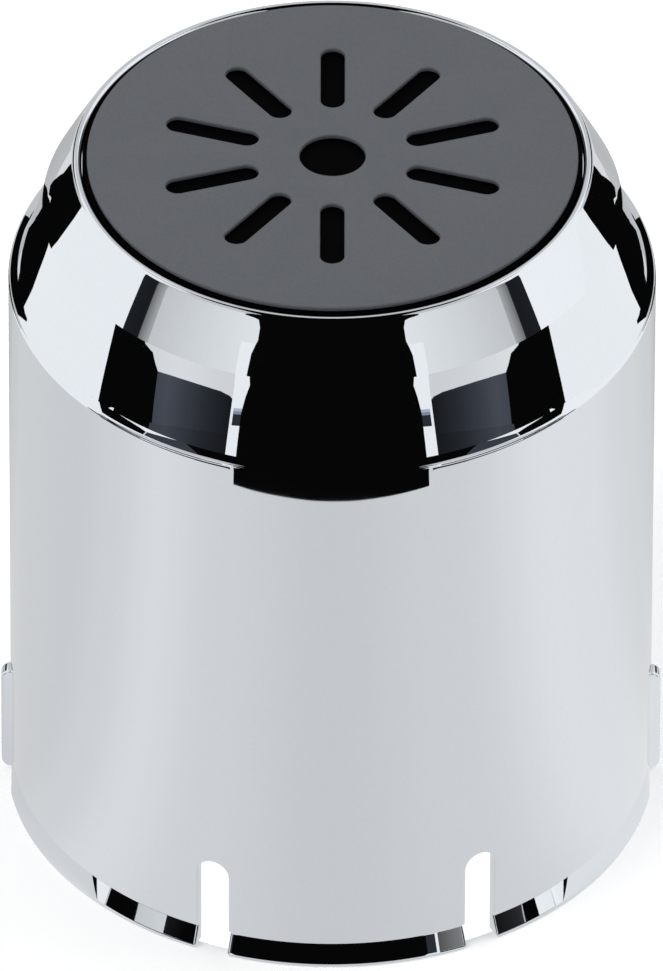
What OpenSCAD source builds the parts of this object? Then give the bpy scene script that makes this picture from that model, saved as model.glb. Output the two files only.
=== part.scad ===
// Push-through wheel center cap: a chromed moulded shell that stands on its open end,
// with a black backing disc and a dark grey cut-out face plate let into its nose.
// Origin at the middle of the open rim, +Z along the axis towards the nose.
// The front of the cap, between the first pair of slots, faces -Y.

/* [Skirt] */
// Outer radius of the straight skirt that passes through the wheel
skirt_r = 54; // [46:0.5:64]
// Height at which the straight skirt ends and the shoulder begins
skirt_top = 103.8; // [80:0.1:124]
// Thickness of the moulded wall
wall = 2; // [1.6:0.1:2.6]

/* [Nose] */
// Radius of the rounded shoulder between the skirt and the cove
shoulder_round = 3; // [1:0.5:6]
// Lean of the cove from the vertical where it meets the shoulder
shoulder_lean = 31; // [28:1:38]
// Rise of the crease ring above the end of the straight skirt
crease_rise = 16; // [12:0.5:20]
// How far the crease ring is drawn in from the skirt
crease_inset = 5.7; // [4.5:0.1:7]
// Rise of the middle of the bead around the face above the crease ring
bead_rise = 8.65; // [7:0.05:11]
// How far the middle of the bead is drawn in from the crease ring
bead_inset = 5.65; // [4.5:0.05:7]
// Radius of the bead around the face
bead_round = 0.9; // [0.6:0.1:1.2]
// Angle through which the crowned upper cone turns
crown_turn = 6.4; // [2:0.2:8]

/* [Lip] */
// How far the retaining lip stands out from the skirt
lip_out = 0.7; // [0.5:0.1:1.5]
// Height of the lower edge of the skirt, above the lip
lip_h = 4.9; // [4:0.1:6]
// Lean of the lip's flared upper face from the vertical
lip_lean = 25; // [15:1:35]
// Rounding of the lip's outer edge
lip_round = 0.5; // [0.2:0.1:0.8]
// Depth of the groove between the lip and the lower edge of the skirt
groove_depth = 0.9; // [0.5:0.1:1]
// Height of the groove's straight root
groove_h = 0.4; // [0.2:0.1:0.8]
// How far the lip is cut back inside the skirt at the two side flats
flat_inset = 0.1; // [0.05:0.05:0.4]

/* [Retaining ribs] */
// How far each side rib stands out from the skirt
rib_out = 1.6; // [1:0.1:2.5]
// Width of a side rib
rib_w = 2.8; // [2.4:0.1:5]
// Height of a side rib from the open rim
rib_h = 20.4; // [12:0.2:30]
// Rounding of the rib's top and foot
rib_round = 1.4; // [0.8:0.1:1.5]
// Rounding of the rib's long edges
rib_edge = 0.6; // [0.3:0.1:1]

/* [Slots] */
// Width of a slot in the skirt
slot_w = 5.6; // [3:0.1:8]
// Height of a slot from the open rim to the top of its arch
slot_h = 19.2; // [12:0.2:30]
// Turn of the first slot of a pair from the front
slot_turn_a = -21.4; // [-40:0.2:-12]
// Turn of the second slot of a pair from the front
slot_turn_b = 27.8; // [12:0.2:40]
// Rounding of the corners where a slot leaves the lip
slot_mouth_round = 0.9; // [0.4:0.1:1.4]

/* [Face] */
// Depth of the recess for the discs below the middle of the bead
recess_depth = 1.25; // [1:0.05:2.5]
// Thickness of the wall that closes the nose under the recess
floor_t = 2.4; // [1.6:0.1:3.5]
// Thickness of the black backing disc
backing_t = 1.9; // [1.2:0.1:3]
// Gap between the backing disc and the wall of the recess
backing_gap = 0.15; // [0.1:0.05:0.4]
// Thickness of the grey face plate
plate_t = 1; // [0.6:0.1:1.8]
// How far the face plate's edge lies inside that of the backing disc
plate_inset = 0.75; // [0.4:0.05:2]
// Rounding of the upper edge of each disc
disc_round = 0.3; // [0.1:0.1:0.5]

/* [Cut-outs] */
// Number of radial cut-outs in the face plate
cut_count = 10; // [6:1:12]
// Width of a cut-out
cut_w = 4; // [2:0.2:5]
// Radius at which a cut-out begins
cut_inner_r = 13; // [11:0.5:16]
// Radius at which a cut-out ends
cut_outer_r = 29; // [22:0.5:34]
// Radius of the round opening in the middle
hub_r = 5.5; // [3:0.5:7]

/* [Hidden] */
$fn = 96;
chrome = [0.80, 0.82, 0.84];
satin_grey = [0.38, 0.39, 0.41];
satin_black = [0.03, 0.03, 0.035];

// Depth by which a cut runs past the surface that it leaves
past = 1;

// Driving points of the nose, as radius and height
crease_p = [skirt_r - crease_inset, skirt_top + crease_rise];
bead_c = crease_p + [-bead_inset, bead_rise];
shoulder_c = [skirt_r - shoulder_round, skirt_top];
shoulder_p = shoulder_c + shoulder_round * [cos(shoulder_lean), sin(shoulder_lean)];
bead_lean = crown_lean(shoulder_lean, 6);
bead_p = bead_c + bead_round * [cos(bead_lean), sin(bead_lean)];
cove_turn = 2 * (shoulder_lean - lean(crease_p, shoulder_p));

// The wall's corner inside the crease ring, where the offset cone and cove meet
crease_normal = (lean(bead_p, crease_p) - crown_turn / 2
                 + lean(crease_p, shoulder_p) - cove_turn / 2) / 2;
crease_in = crease_p - wall * [cos(crease_normal), sin(crease_normal)];

bore_r = skirt_r - wall;
lip_r = skirt_r + lip_out;
lip_c = [lip_r - lip_round, lip_round];
lip_p = lip_c + lip_round * [cos(lip_lean), sin(lip_lean)];
groove_r = skirt_r - groove_depth;
groove_z = lip_p.y + (lip_p.x - groove_r) / tan(lip_lean);
recess_r = bead_c.x - bead_round;
recess_z = bead_c.y - recess_depth;
backing_r = recess_r - backing_gap;
plate_r = backing_r - plate_inset;
plate_z = recess_z + backing_t;

// Lean from the vertical of the straight line from a down to b
function lean(a, b) = atan2(b.x - a.x, a.y - b.y);

// Lean of the crowned cone where it leaves the bead, closer with each step
function crown_lean(guess, steps) =
    steps == 0 ? guess
    : crown_lean(lean(bead_c + bead_round * [cos(guess), sin(guess)], crease_p) + crown_turn / 2,
                 steps - 1);

// Points of an arc about c, from angle a to angle b in n steps
function arc(c, r, a, b, n) =
    [for (i = [0:n]) let (t = a + (b - a) * i / n) c + r * [cos(t), sin(t)]];

// Points of an arc from p down to q that turns through an angle: above zero it bulges
// outwards, below zero it is hollow. The arc is moved inwards by the inset.
function bowed(p, q, turn, n, inset = 0) =
    let (length = norm(q - p),
         side = turn < 0 ? -1 : 1,
         radius = length / 2 / sin(abs(turn) / 2),
         along = (q - p) / length,
         out = [-along.y, along.x],
         c = (p + q) / 2 - out * side * radius * cos(turn / 2))
    [for (i = [0:n]) let (t = (i / n - 0.5) * abs(turn))
        c + (radius - side * inset) * (out * side * cos(t) + along * sin(t))];

// Every point of a list but the first and the last few
function inner(points, first, last) = [for (i = [first:len(points) - 1 - last]) points[i]];

// The section of the shell's outside, from the recess in the nose down to the open rim
module outer_outline() {
    polygon(concat(
        [[0, recess_z], [recess_r, recess_z]],
        arc(bead_c, bead_round, 180, bead_lean, 12),
        inner(bowed(bead_p, crease_p, crown_turn, 5), 1, 0),
        inner(bowed(crease_p, shoulder_p, -cove_turn, 10), 1, 0),
        inner(arc(shoulder_c, shoulder_round, shoulder_lean, 0, 6), 1, 0),
        [[skirt_r, lip_h], [groove_r, groove_z + groove_h], [groove_r, groove_z]],
        arc(lip_c, lip_round, lip_lean, -90, 6),
        [[0, 0]]
    ));
}

// The section of the hollow, which keeps the wall's thickness up to the recess floor
module hollow_outline() {
    intersection() {
        polygon(concat(
            [[0, bead_c.y]],
            inner(bowed(bead_p, crease_p, crown_turn, 5, wall), 0, 1),
            [crease_in],
            inner(bowed(crease_p, shoulder_p, -cove_turn, 10, wall), 1, 1),
            [[bore_r, skirt_top], [bore_r, -past], [0, -past]]
        ));
        translate([0, -past]) square([bore_r, recess_z - floor_t + past]);
    }
}

// The outline of one slot as it is seen square on, with its mouth at the open rim
module slot_outline() {
    side = slot_w / 2;
    mouth = slot_mouth_round;
    translate([0, slot_h - side]) circle(r = side);
    polygon(concat(
        [[-side - mouth, -past]],
        arc([-side - mouth, mouth], mouth, -90, 0, 5),
        [[-side, slot_h - side], [side, slot_h - side]],
        arc([side + mouth, mouth], mouth, 180, 270, 5),
        [[side + mouth, -past]]
    ));
}

// The pairs of arched slots, cut square to the skirt at the front and at the back
module slots() {
    for (turn = [slot_turn_a, slot_turn_b, 180 + slot_turn_a, 180 + slot_turn_b])
        rotate(turn) translate([0, -(bore_r - 2 * wall), 0]) rotate([90, 0, 0])
            linear_extrude(4 * wall + lip_out) slot_outline();
}

// The lip is cut flush with the skirt on both sides, under the ribs
module lip_flats() {
    for (turn = [0, 180])
        rotate(turn) translate([skirt_r - flat_inset, -skirt_r / 2, -past])
            cube([lip_out + past, skirt_r, groove_z + past]);
}

// A block along X whose two far corners are rounded
module nosed_block(length, width, r) {
    square([length - r, width]);
    translate([0, r]) square([length, width - 2 * r]);
    translate([length - r, r]) circle(r = r);
    translate([length - r, width - r]) circle(r = r);
}

// One upright rib on each side, rounded at its top, its foot and its long edges
module side_ribs() {
    root = wall - 0.4;
    for (turn = [0, 180])
        rotate(turn) translate([skirt_r - root, 0, 0]) intersection() {
            rotate([90, 0, 0]) linear_extrude(rib_w, center = true)
                nosed_block(root + rib_out, rib_h, rib_round);
            translate([0, -rib_w / 2, 0]) linear_extrude(rib_h)
                nosed_block(root + rib_out, rib_w, rib_edge);
        }
}

// The moulded shell: skirt, lip, ribs, coved nose and the recess for the discs
module cap_shell() {
    color(chrome) difference() {
        union() {
            difference() {
                rotate_extrude() outer_outline();
                lip_flats();
            }
            side_ribs();
        }
        rotate_extrude() hollow_outline();
        slots();
    }
}

// A flat disc with a rounded upper edge
module disc(r, z, t) {
    rotate_extrude() polygon(concat(
        [[0, z], [r, z]],
        arc([r - disc_round, z + t - disc_round], disc_round, 0, 90, 4),
        [[0, z + t]]
    ));
}

// The black disc that lies on the recess floor and shows round and through the face plate
module backing_disc() {
    color(satin_black) disc(backing_r, recess_z, backing_t);
}

// One radial cut-out with round ends
module cut_out() {
    half = cut_w / 2;
    translate([cut_inner_r + half, 0]) circle(r = half);
    translate([cut_outer_r - half, 0]) circle(r = half);
    translate([cut_inner_r + half, -half]) square([cut_outer_r - cut_inner_r - cut_w, cut_w]);
}

// The grey plate with a plain ring of cut-outs round a central opening
module face_plate() {
    color(satin_grey) difference() {
        disc(plate_r, plate_z, plate_t);
        translate([0, 0, plate_z - past]) linear_extrude(plate_t + 2 * past) {
            circle(r = hub_r);
            for (i = [0:cut_count - 1]) rotate((i + 0.5) * 360 / cut_count) cut_out();
        }
    }
}

cap_shell();
backing_disc();
face_plate();
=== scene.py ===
"""Wheel center cap: the chromed shell, the black backing disc and the grey face plate.

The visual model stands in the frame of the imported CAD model, in metres, with its axis
along +Z and the front of the cap towards -Y. Sizes are written in millimetres.
"""

import logging
from dataclasses import dataclass, field, replace
from enum import Enum
from math import asin, atan2, ceil, cos, degrees, hypot, pi, radians, sin, sqrt, tan
from typing import Callable, Optional, Sequence

import bmesh
import bpy
from mathutils import Matrix


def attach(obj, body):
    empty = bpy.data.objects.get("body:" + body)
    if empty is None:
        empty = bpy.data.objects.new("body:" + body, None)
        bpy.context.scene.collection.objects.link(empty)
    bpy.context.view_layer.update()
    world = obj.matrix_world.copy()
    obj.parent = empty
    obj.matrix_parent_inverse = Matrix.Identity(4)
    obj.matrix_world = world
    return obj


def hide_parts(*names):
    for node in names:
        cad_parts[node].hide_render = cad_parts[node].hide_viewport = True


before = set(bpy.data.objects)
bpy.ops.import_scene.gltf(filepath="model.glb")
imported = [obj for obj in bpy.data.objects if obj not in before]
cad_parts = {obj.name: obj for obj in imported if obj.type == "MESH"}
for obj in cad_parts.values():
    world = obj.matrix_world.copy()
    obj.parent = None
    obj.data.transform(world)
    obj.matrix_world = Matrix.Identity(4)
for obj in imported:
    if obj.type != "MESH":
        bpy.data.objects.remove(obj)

LOG = logging.getLogger("center_cap")
MM = 0.001
ABOVE_MOUTH = 99.0  # a height at which no slot is widened by the rounding of its mouth
CROWN_SEEN = 3.0  # turn of the visible cone's crown, flatter than the CAD's
SHARP_ANGLE = 35.0  # degrees above which an edge isn't shaded smooth
NOISE_SPAN = (0.3, 0.7)  # part of a noise that is spread over a finish's colours and roughness
MERGE_DISTANCE = 1e-7  # metres within which two points become one
NEAR = 1e-6  # metres within which a point lies on a ring
NEARLY_HALF = 0.4999  # of a cut-out's width, so that its two end arcs don't quite meet
Point = tuple[float, float]
Point3 = tuple[float, float, float]


class Slot(Enum):
    """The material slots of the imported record."""

    CHROME = "chrome_shell"
    BLACK = "black_disc"
    GREY = "grey_plate"


class Card(Enum):
    """What a studio card shows to the polished metal."""

    BLACK = "flag"
    DARK = "block"
    WHITE = "softbox"


# ---------------------------------------------------------------- plane geometry


def polar(center: Point, radius: float, angle: float) -> Point:
    """Gives the point of a circle in a section.

    Args:
        center: Middle of the circle, as radius and height.
        radius: Radius of the circle.
        angle: Angle from the outward direction, in degrees.

    Returns:
        The point, as radius and height.
    """
    return (center[0] + radius * cos(radians(angle)), center[1] + radius * sin(radians(angle)))


def arc(center: Point, radius: float, start: float, stop: float, steps: int) -> list[Point]:
    """Gives the points of an arc.

    Args:
        center: Middle of the arc.
        radius: Radius of the arc.
        start: First angle, in degrees.
        stop: Last angle, in degrees.
        steps: Number of chords.

    Returns:
        The points, both ends included.
    """
    return [polar(center, radius, start + (stop - start) * i / steps) for i in range(steps + 1)]


def lean(top: Point, foot: Point) -> float:
    """Gives the lean from the vertical of the line from a point down to another, in degrees."""
    return degrees(atan2(foot[0] - top[0], top[1] - foot[1]))


def bowed(top: Point, foot: Point, turn: float, steps: int, inset: float = 0.0) -> list[Point]:
    """Gives an arc between two points that turns through an angle.

    Args:
        top: Upper end.
        foot: Lower end.
        turn: Angle through which the arc turns: above zero it bulges, below zero it is hollow.
        steps: Number of chords.
        inset: How far the arc is moved inwards.

    Returns:
        The points, both ends included.
    """
    dx, dz = foot[0] - top[0], foot[1] - top[1]
    length = hypot(dx, dz)
    side = -1.0 if turn < 0 else 1.0
    half = radians(abs(turn) / 2)
    radius = length / 2 / sin(half)
    along = (dx / length, dz / length)
    out = (-along[1], along[0])
    reach = side * radius * cos(half)
    mid = ((top[0] + foot[0]) / 2 - out[0] * reach, (top[1] + foot[1]) / 2 - out[1] * reach)
    points = []
    for i in range(steps + 1):
        t = (i / steps - 0.5) * 2 * half
        a, b = side * cos(t), sin(t)
        points.append(
            (
                mid[0] + (radius - side * inset) * (out[0] * a + along[0] * b),
                mid[1] + (radius - side * inset) * (out[1] * a + along[1] * b),
            )
        )
    return points


# ---------------------------------------------------------------- sizes


@dataclass
class CapSizes:
    """The cap's sizes in millimetres, as the CAD source has them."""

    skirt_r: float = 54.0
    skirt_top: float = 103.8
    wall: float = 2.0
    shoulder_round: float = 3.0
    shoulder_lean: float = 31.0
    crease_rise: float = 16.0
    crease_inset: float = 5.7
    bead_rise: float = 8.65
    bead_inset: float = 5.65
    bead_round: float = 0.9
    crown_turn: float = 6.4
    lip_out: float = 0.7
    lip_h: float = 4.9
    lip_lean: float = 25.0
    lip_round: float = 0.5
    groove_depth: float = 0.9
    groove_h: float = 0.4
    flat_inset: float = 0.1
    rib_out: float = 1.6
    rib_w: float = 2.8
    rib_h: float = 20.4
    rib_round: float = 1.4
    rib_edge: float = 0.6
    slot_w: float = 5.6
    slot_h: float = 19.2
    slot_turns: tuple[float, ...] = (-21.4, 27.8, 158.6, 207.8)
    mouth_round: float = 0.9
    recess_depth: float = 1.25
    floor_t: float = 2.4
    backing_t: float = 1.9
    backing_gap: float = 0.15
    plate_t: float = 1.0
    plate_inset: float = 0.75
    disc_round: float = 0.3
    cut_count: int = 10
    cut_w: float = 4.0
    cut_inner_r: float = 13.0
    cut_outer_r: float = 29.0
    hub_r: float = 5.5

    @property
    def crease(self) -> Point:
        """Gives the crease ring's point."""
        return (self.skirt_r - self.crease_inset, self.skirt_top + self.crease_rise)

    @property
    def bead(self) -> Point:
        """Gives the middle of the bead's section."""
        return (self.crease[0] - self.bead_inset, self.crease[1] + self.bead_rise)

    @property
    def shoulder_mid(self) -> Point:
        """Gives the middle of the shoulder's rounding."""
        return (self.skirt_r - self.shoulder_round, self.skirt_top)

    @property
    def shoulder(self) -> Point:
        """Gives the point where the cove meets the shoulder's rounding."""
        return polar(self.shoulder_mid, self.shoulder_round, self.shoulder_lean)

    @property
    def bead_lean(self) -> float:
        """Gives the lean of the crowned cone where it leaves the bead."""
        guess = self.shoulder_lean
        for _ in range(6):
            guess = lean(polar(self.bead, self.bead_round, guess), self.crease)
            guess += self.crown_turn / 2
        return guess

    @property
    def bead_foot(self) -> Point:
        """Gives the point where the crowned cone leaves the bead."""
        return polar(self.bead, self.bead_round, self.bead_lean)

    @property
    def cove_turn(self) -> float:
        """Gives the angle through which the cove turns."""
        return 2 * (self.shoulder_lean - lean(self.crease, self.shoulder))

    @property
    def bore_r(self) -> float:
        """Gives the inner radius of the skirt."""
        return self.skirt_r - self.wall

    @property
    def lip_mid(self) -> Point:
        """Gives the middle of the rounding of the lip's edge."""
        return (self.skirt_r + self.lip_out - self.lip_round, self.lip_round)

    @property
    def groove_r(self) -> float:
        """Gives the radius of the groove's root."""
        return self.skirt_r - self.groove_depth

    @property
    def groove_z(self) -> float:
        """Gives the height at which the lip's flared face meets the groove."""
        edge = polar(self.lip_mid, self.lip_round, self.lip_lean)
        return edge[1] + (edge[0] - self.groove_r) / tan(radians(self.lip_lean))

    @property
    def recess_r(self) -> float:
        """Gives the radius of the recess in the nose."""
        return self.bead[0] - self.bead_round

    @property
    def recess_z(self) -> float:
        """Gives the height of the recess floor."""
        return self.bead[1] - self.recess_depth

    @property
    def backing_r(self) -> float:
        """Gives the radius of the backing disc."""
        return self.recess_r - self.backing_gap

    @property
    def plate_r(self) -> float:
        """Gives the radius of the face plate."""
        return self.backing_r - self.plate_inset

    @property
    def plate_z(self) -> float:
        """Gives the height of the face plate's underside."""
        return self.recess_z + self.backing_t


# ---------------------------------------------------------------- scene and node helpers


def place(name: str, data: bpy.types.ID) -> bpy.types.Object:
    """Adds an object to the scene.

    Args:
        name: Name of the object.
        data: Its mesh, lamp or camera.

    Returns:
        The object.
    """
    thing = bpy.data.objects.new(name, data)
    bpy.context.scene.collection.objects.link(thing)
    return thing


def bare_tree(owner: bpy.types.ID) -> bpy.types.NodeTree:
    """Turns on the nodes of a material or world and empties its tree.

    Args:
        owner: The material or world.

    Returns:
        The empty tree.
    """
    owner.use_nodes = True
    owner.node_tree.nodes.clear()
    return owner.node_tree


def add_node(
    tree: bpy.types.NodeTree, kind: str, inputs: Optional[dict] = None, **settings: object
) -> bpy.types.Node:
    """Adds a node with its settings and inputs.

    Args:
        tree: The tree that takes the node.
        kind: The node's type.
        inputs: Outputs to link, alone or in a list, or values, by an input's name or number.
        **settings: The node's settings.

    Returns:
        The node.
    """
    node = tree.nodes.new(kind)
    for key, value in settings.items():
        setattr(node, key, value)
    for key, given in (inputs or {}).items():
        for source in given if isinstance(given, list) else [given]:
            if isinstance(source, bpy.types.NodeSocket):
                tree.links.new(source, node.inputs[key])
            else:
                node.inputs[key].default_value = source
    return node


def maths(tree: bpy.types.NodeTree, operation: str, *terms: object) -> bpy.types.NodeSocket:
    """Adds a Math node.

    Args:
        tree: The tree that takes the node.
        operation: The operation's name.
        *terms: Its numbers or outputs.

    Returns:
        The result's output.
    """
    return add_node(tree, "ShaderNodeMath", dict(enumerate(terms)), operation=operation).outputs[0]


# ---------------------------------------------------------------- effects shared by materials


@dataclass(frozen=True)
class MouldingTexture:
    """The fine unevenness of a moulded surface, as one shader node group.

    Attributes:
        name: Name of the node group.
    """

    name: str = "moulding_texture"

    def group(self) -> bpy.types.NodeTree:
        """Builds the group once.

        Returns:
            The node group, with a tint, a roughness mask and a height.
        """
        known = bpy.data.node_groups.get(self.name)
        if known:
            return known
        tree = bpy.data.node_groups.new(self.name, "ShaderNodeTree")
        face = tree.interface
        face.new_socket("Vector", in_out="INPUT", socket_type="NodeSocketVector")
        for name, value in (("Wave Scale", 30.0), ("Grain Scale", 900.0), ("Grain Share", 0.5)):
            made = face.new_socket(name, in_out="INPUT", socket_type="NodeSocketFloat")
            made.default_value = value
        for name in ("Tint", "Mask", "Height"):
            face.new_socket(name, in_out="OUTPUT", socket_type="NodeSocketFloat")
        start = add_node(tree, "NodeGroupInput").outputs
        noises = []
        for scale, detail, rough in (("Wave Scale", 2.0, 0.4), ("Grain Scale", 3.0, 0.6)):
            inputs = {"Vector": start["Vector"], "Scale": start[scale]}
            inputs |= {"Detail": detail, "Roughness": rough}
            noises.append(add_node(tree, "ShaderNodeTexNoise", inputs).outputs[0])
        wave, grain = noises
        share = start["Grain Share"]
        fine = maths(tree, "MULTIPLY", grain, share)
        rest = maths(tree, "SUBTRACT", 1.0, share)
        broad = maths(tree, "MULTIPLY", wave, rest)
        height = maths(tree, "ADD", fine, broad)
        add_node(tree, "NodeGroupOutput", {"Height": height, "Tint": grain, "Mask": wave})
        return tree


@dataclass(frozen=True)
class Finish:
    """A finish whose colour and roughness vary a little over the surface.

    Attributes:
        name: Name of the material.
        dark: Colour where the tint is lowest.
        light: Colour where the tint is highest.
        metallic: How metallic the surface is.
        smooth: Roughness where the mask is lowest.
        rough: Roughness where the mask is highest.
        wave_scale: Scale of the broad unevenness.
        grain_scale: Scale of the fine grain.
        grain_share: Share of the fine grain in the height.
        relief: Depth of the relief in metres.
        specular: Level of the surface's own gloss.
    """

    name: str
    dark: Point3
    light: Point3
    metallic: float
    smooth: float
    rough: float
    wave_scale: float
    grain_scale: float
    grain_share: float
    relief: float
    specular: float = 0.5

    def material(self) -> bpy.types.Material:
        """Builds the material once.

        Returns:
            The material.
        """
        known = bpy.data.materials.get(self.name)
        if known:
            return known
        material = bpy.data.materials.new(self.name)
        material.use_nodes = True
        tree = material.node_tree
        shader = tree.nodes["Principled BSDF"]
        shader.inputs["Metallic"].default_value = self.metallic
        shader.inputs["Specular IOR Level"].default_value = self.specular
        spot = add_node(tree, "ShaderNodeTexCoord").outputs["Object"]
        inputs = {"Vector": spot, "Wave Scale": self.wave_scale}
        inputs |= {"Grain Scale": self.grain_scale, "Grain Share": self.grain_share}
        texture = add_node(tree, "ShaderNodeGroup", inputs, node_tree=MouldingTexture().group())
        blend = add_node(tree, "ShaderNodeValToRGB", {"Fac": texture.outputs["Tint"]})
        ramp = zip(blend.color_ramp.elements, NOISE_SPAN, (self.dark, self.light))
        for stop, position, colour in ramp:
            stop.position = position
            stop.color = (*colour, 1.0)
        inputs = {"Value": texture.outputs["Mask"], "To Min": self.smooth, "To Max": self.rough}
        inputs |= {"From Min": NOISE_SPAN[0], "From Max": NOISE_SPAN[1]}
        gloss = add_node(tree, "ShaderNodeMapRange", inputs)
        inputs = {"Height": texture.outputs["Height"], "Strength": 1.0, "Distance": self.relief}
        bump = add_node(tree, "ShaderNodeBump", inputs)
        for name, source in (("Base Color", blend), ("Roughness", gloss), ("Normal", bump)):
            tree.links.new(source.outputs[0], shader.inputs[name])
        return material


CHROME = Finish(
    name="polished_chrome",
    dark=(0.85, 0.89, 0.935),
    light=(0.87, 0.908, 0.95),
    metallic=1.0,
    smooth=0.006,
    rough=0.018,
    wave_scale=45.0,
    grain_scale=1500.0,
    grain_share=0.0,
    relief=0.00002,
)
SATIN_BLACK = Finish(
    name="satin_black",
    dark=(0.0006, 0.0006, 0.0007),
    light=(0.0012, 0.0012, 0.0014),
    metallic=0.0,
    smooth=0.5,
    rough=0.62,
    wave_scale=90.0,
    grain_scale=2500.0,
    grain_share=0.7,
    relief=0.00001,
    specular=0.015,
)
SATIN_GREY = Finish(
    name="satin_grey",
    dark=(0.0985, 0.106, 0.118),
    light=(0.119, 0.127, 0.14),
    metallic=0.0,
    smooth=0.42,
    rough=0.52,
    wave_scale=70.0,
    grain_scale=2600.0,
    grain_share=0.8,
    relief=0.000012,
    specular=0.25,
)


# ---------------------------------------------------------------- pieces


def finished_piece(
    name: str, mesh: bpy.types.Mesh, finish: Finish, node: str
) -> bpy.types.Object:
    """Makes a mesh a piece of the cap.

    Args:
        name: Name of the piece.
        mesh: Its mesh, with the place in its points.
        finish: Its finish.
        node: The CAD node that it stands for.

    Returns:
        The piece, riding on the body of the cap.
    """
    piece = place(name, mesh)
    mesh.materials.clear()
    mesh.materials.append(finish.material())
    mesh.polygons.foreach_set("use_smooth", [True] * len(mesh.polygons))
    mesh.set_sharp_from_angle(angle=radians(SHARP_ANGLE))
    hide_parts(node)
    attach(piece, "root")
    LOG.info("%s: %d faces", name, len(mesh.polygons))
    return piece


def closed_mesh(
    name: str, points: Sequence[Point3], faces: Sequence[Sequence[int]]
) -> bpy.types.Mesh:
    """Makes a closed mesh whose faces point outwards.

    Args:
        name: Name of the mesh.
        points: The points in millimetres.
        faces: The faces, as indices of points.

    Returns:
        The mesh in metres.
    """
    mesh = bpy.data.meshes.new(name)
    mesh.from_pydata([(x * MM, y * MM, z * MM) for x, y, z in points], [], faces)
    work = bmesh.new()
    work.from_mesh(mesh)
    bmesh.ops.remove_doubles(work, verts=work.verts, dist=MERGE_DISTANCE)
    loose = [v for v in work.verts if not v.link_faces]
    bmesh.ops.delete(work, geom=loose, context="VERTS")
    bmesh.ops.recalc_face_normals(work, faces=work.faces)
    if work.calc_volume(signed=True) < 0:
        bmesh.ops.reverse_faces(work, faces=work.faces)
    open_edges = sum(1 for e in work.edges if not e.is_manifold)
    if open_edges:
        LOG.warning("%s has %d open edges", name, open_edges)
    work.to_mesh(mesh)
    work.free()
    return mesh


def round_row(radius: float, z: float, count: int) -> list[Point3]:
    """Gives evenly spaced points on a level circle round the axis."""
    turns = [2 * pi * i / count for i in range(count)]
    return [(radius * cos(a), radius * sin(a), z) for a in turns]


def band(upper: Sequence[Optional[int]], lower: Sequence[Optional[int]]) -> list[tuple]:
    """Joins two closed rows of points with faces, where both have points."""
    count = len(upper)
    following = [(i + 1) % count for i in range(count)]
    quads = [(upper[i], upper[k], lower[k], lower[i]) for i, k in enumerate(following)]
    return [quad for quad in quads if None not in quad]


def fan(pole: int, row: Sequence[int]) -> list[tuple[int, ...]]:
    """Closes a row of points with faces that meet at a pole."""
    return [(pole, row[i], row[(i + 1) % len(row)]) for i in range(len(row))]


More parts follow.
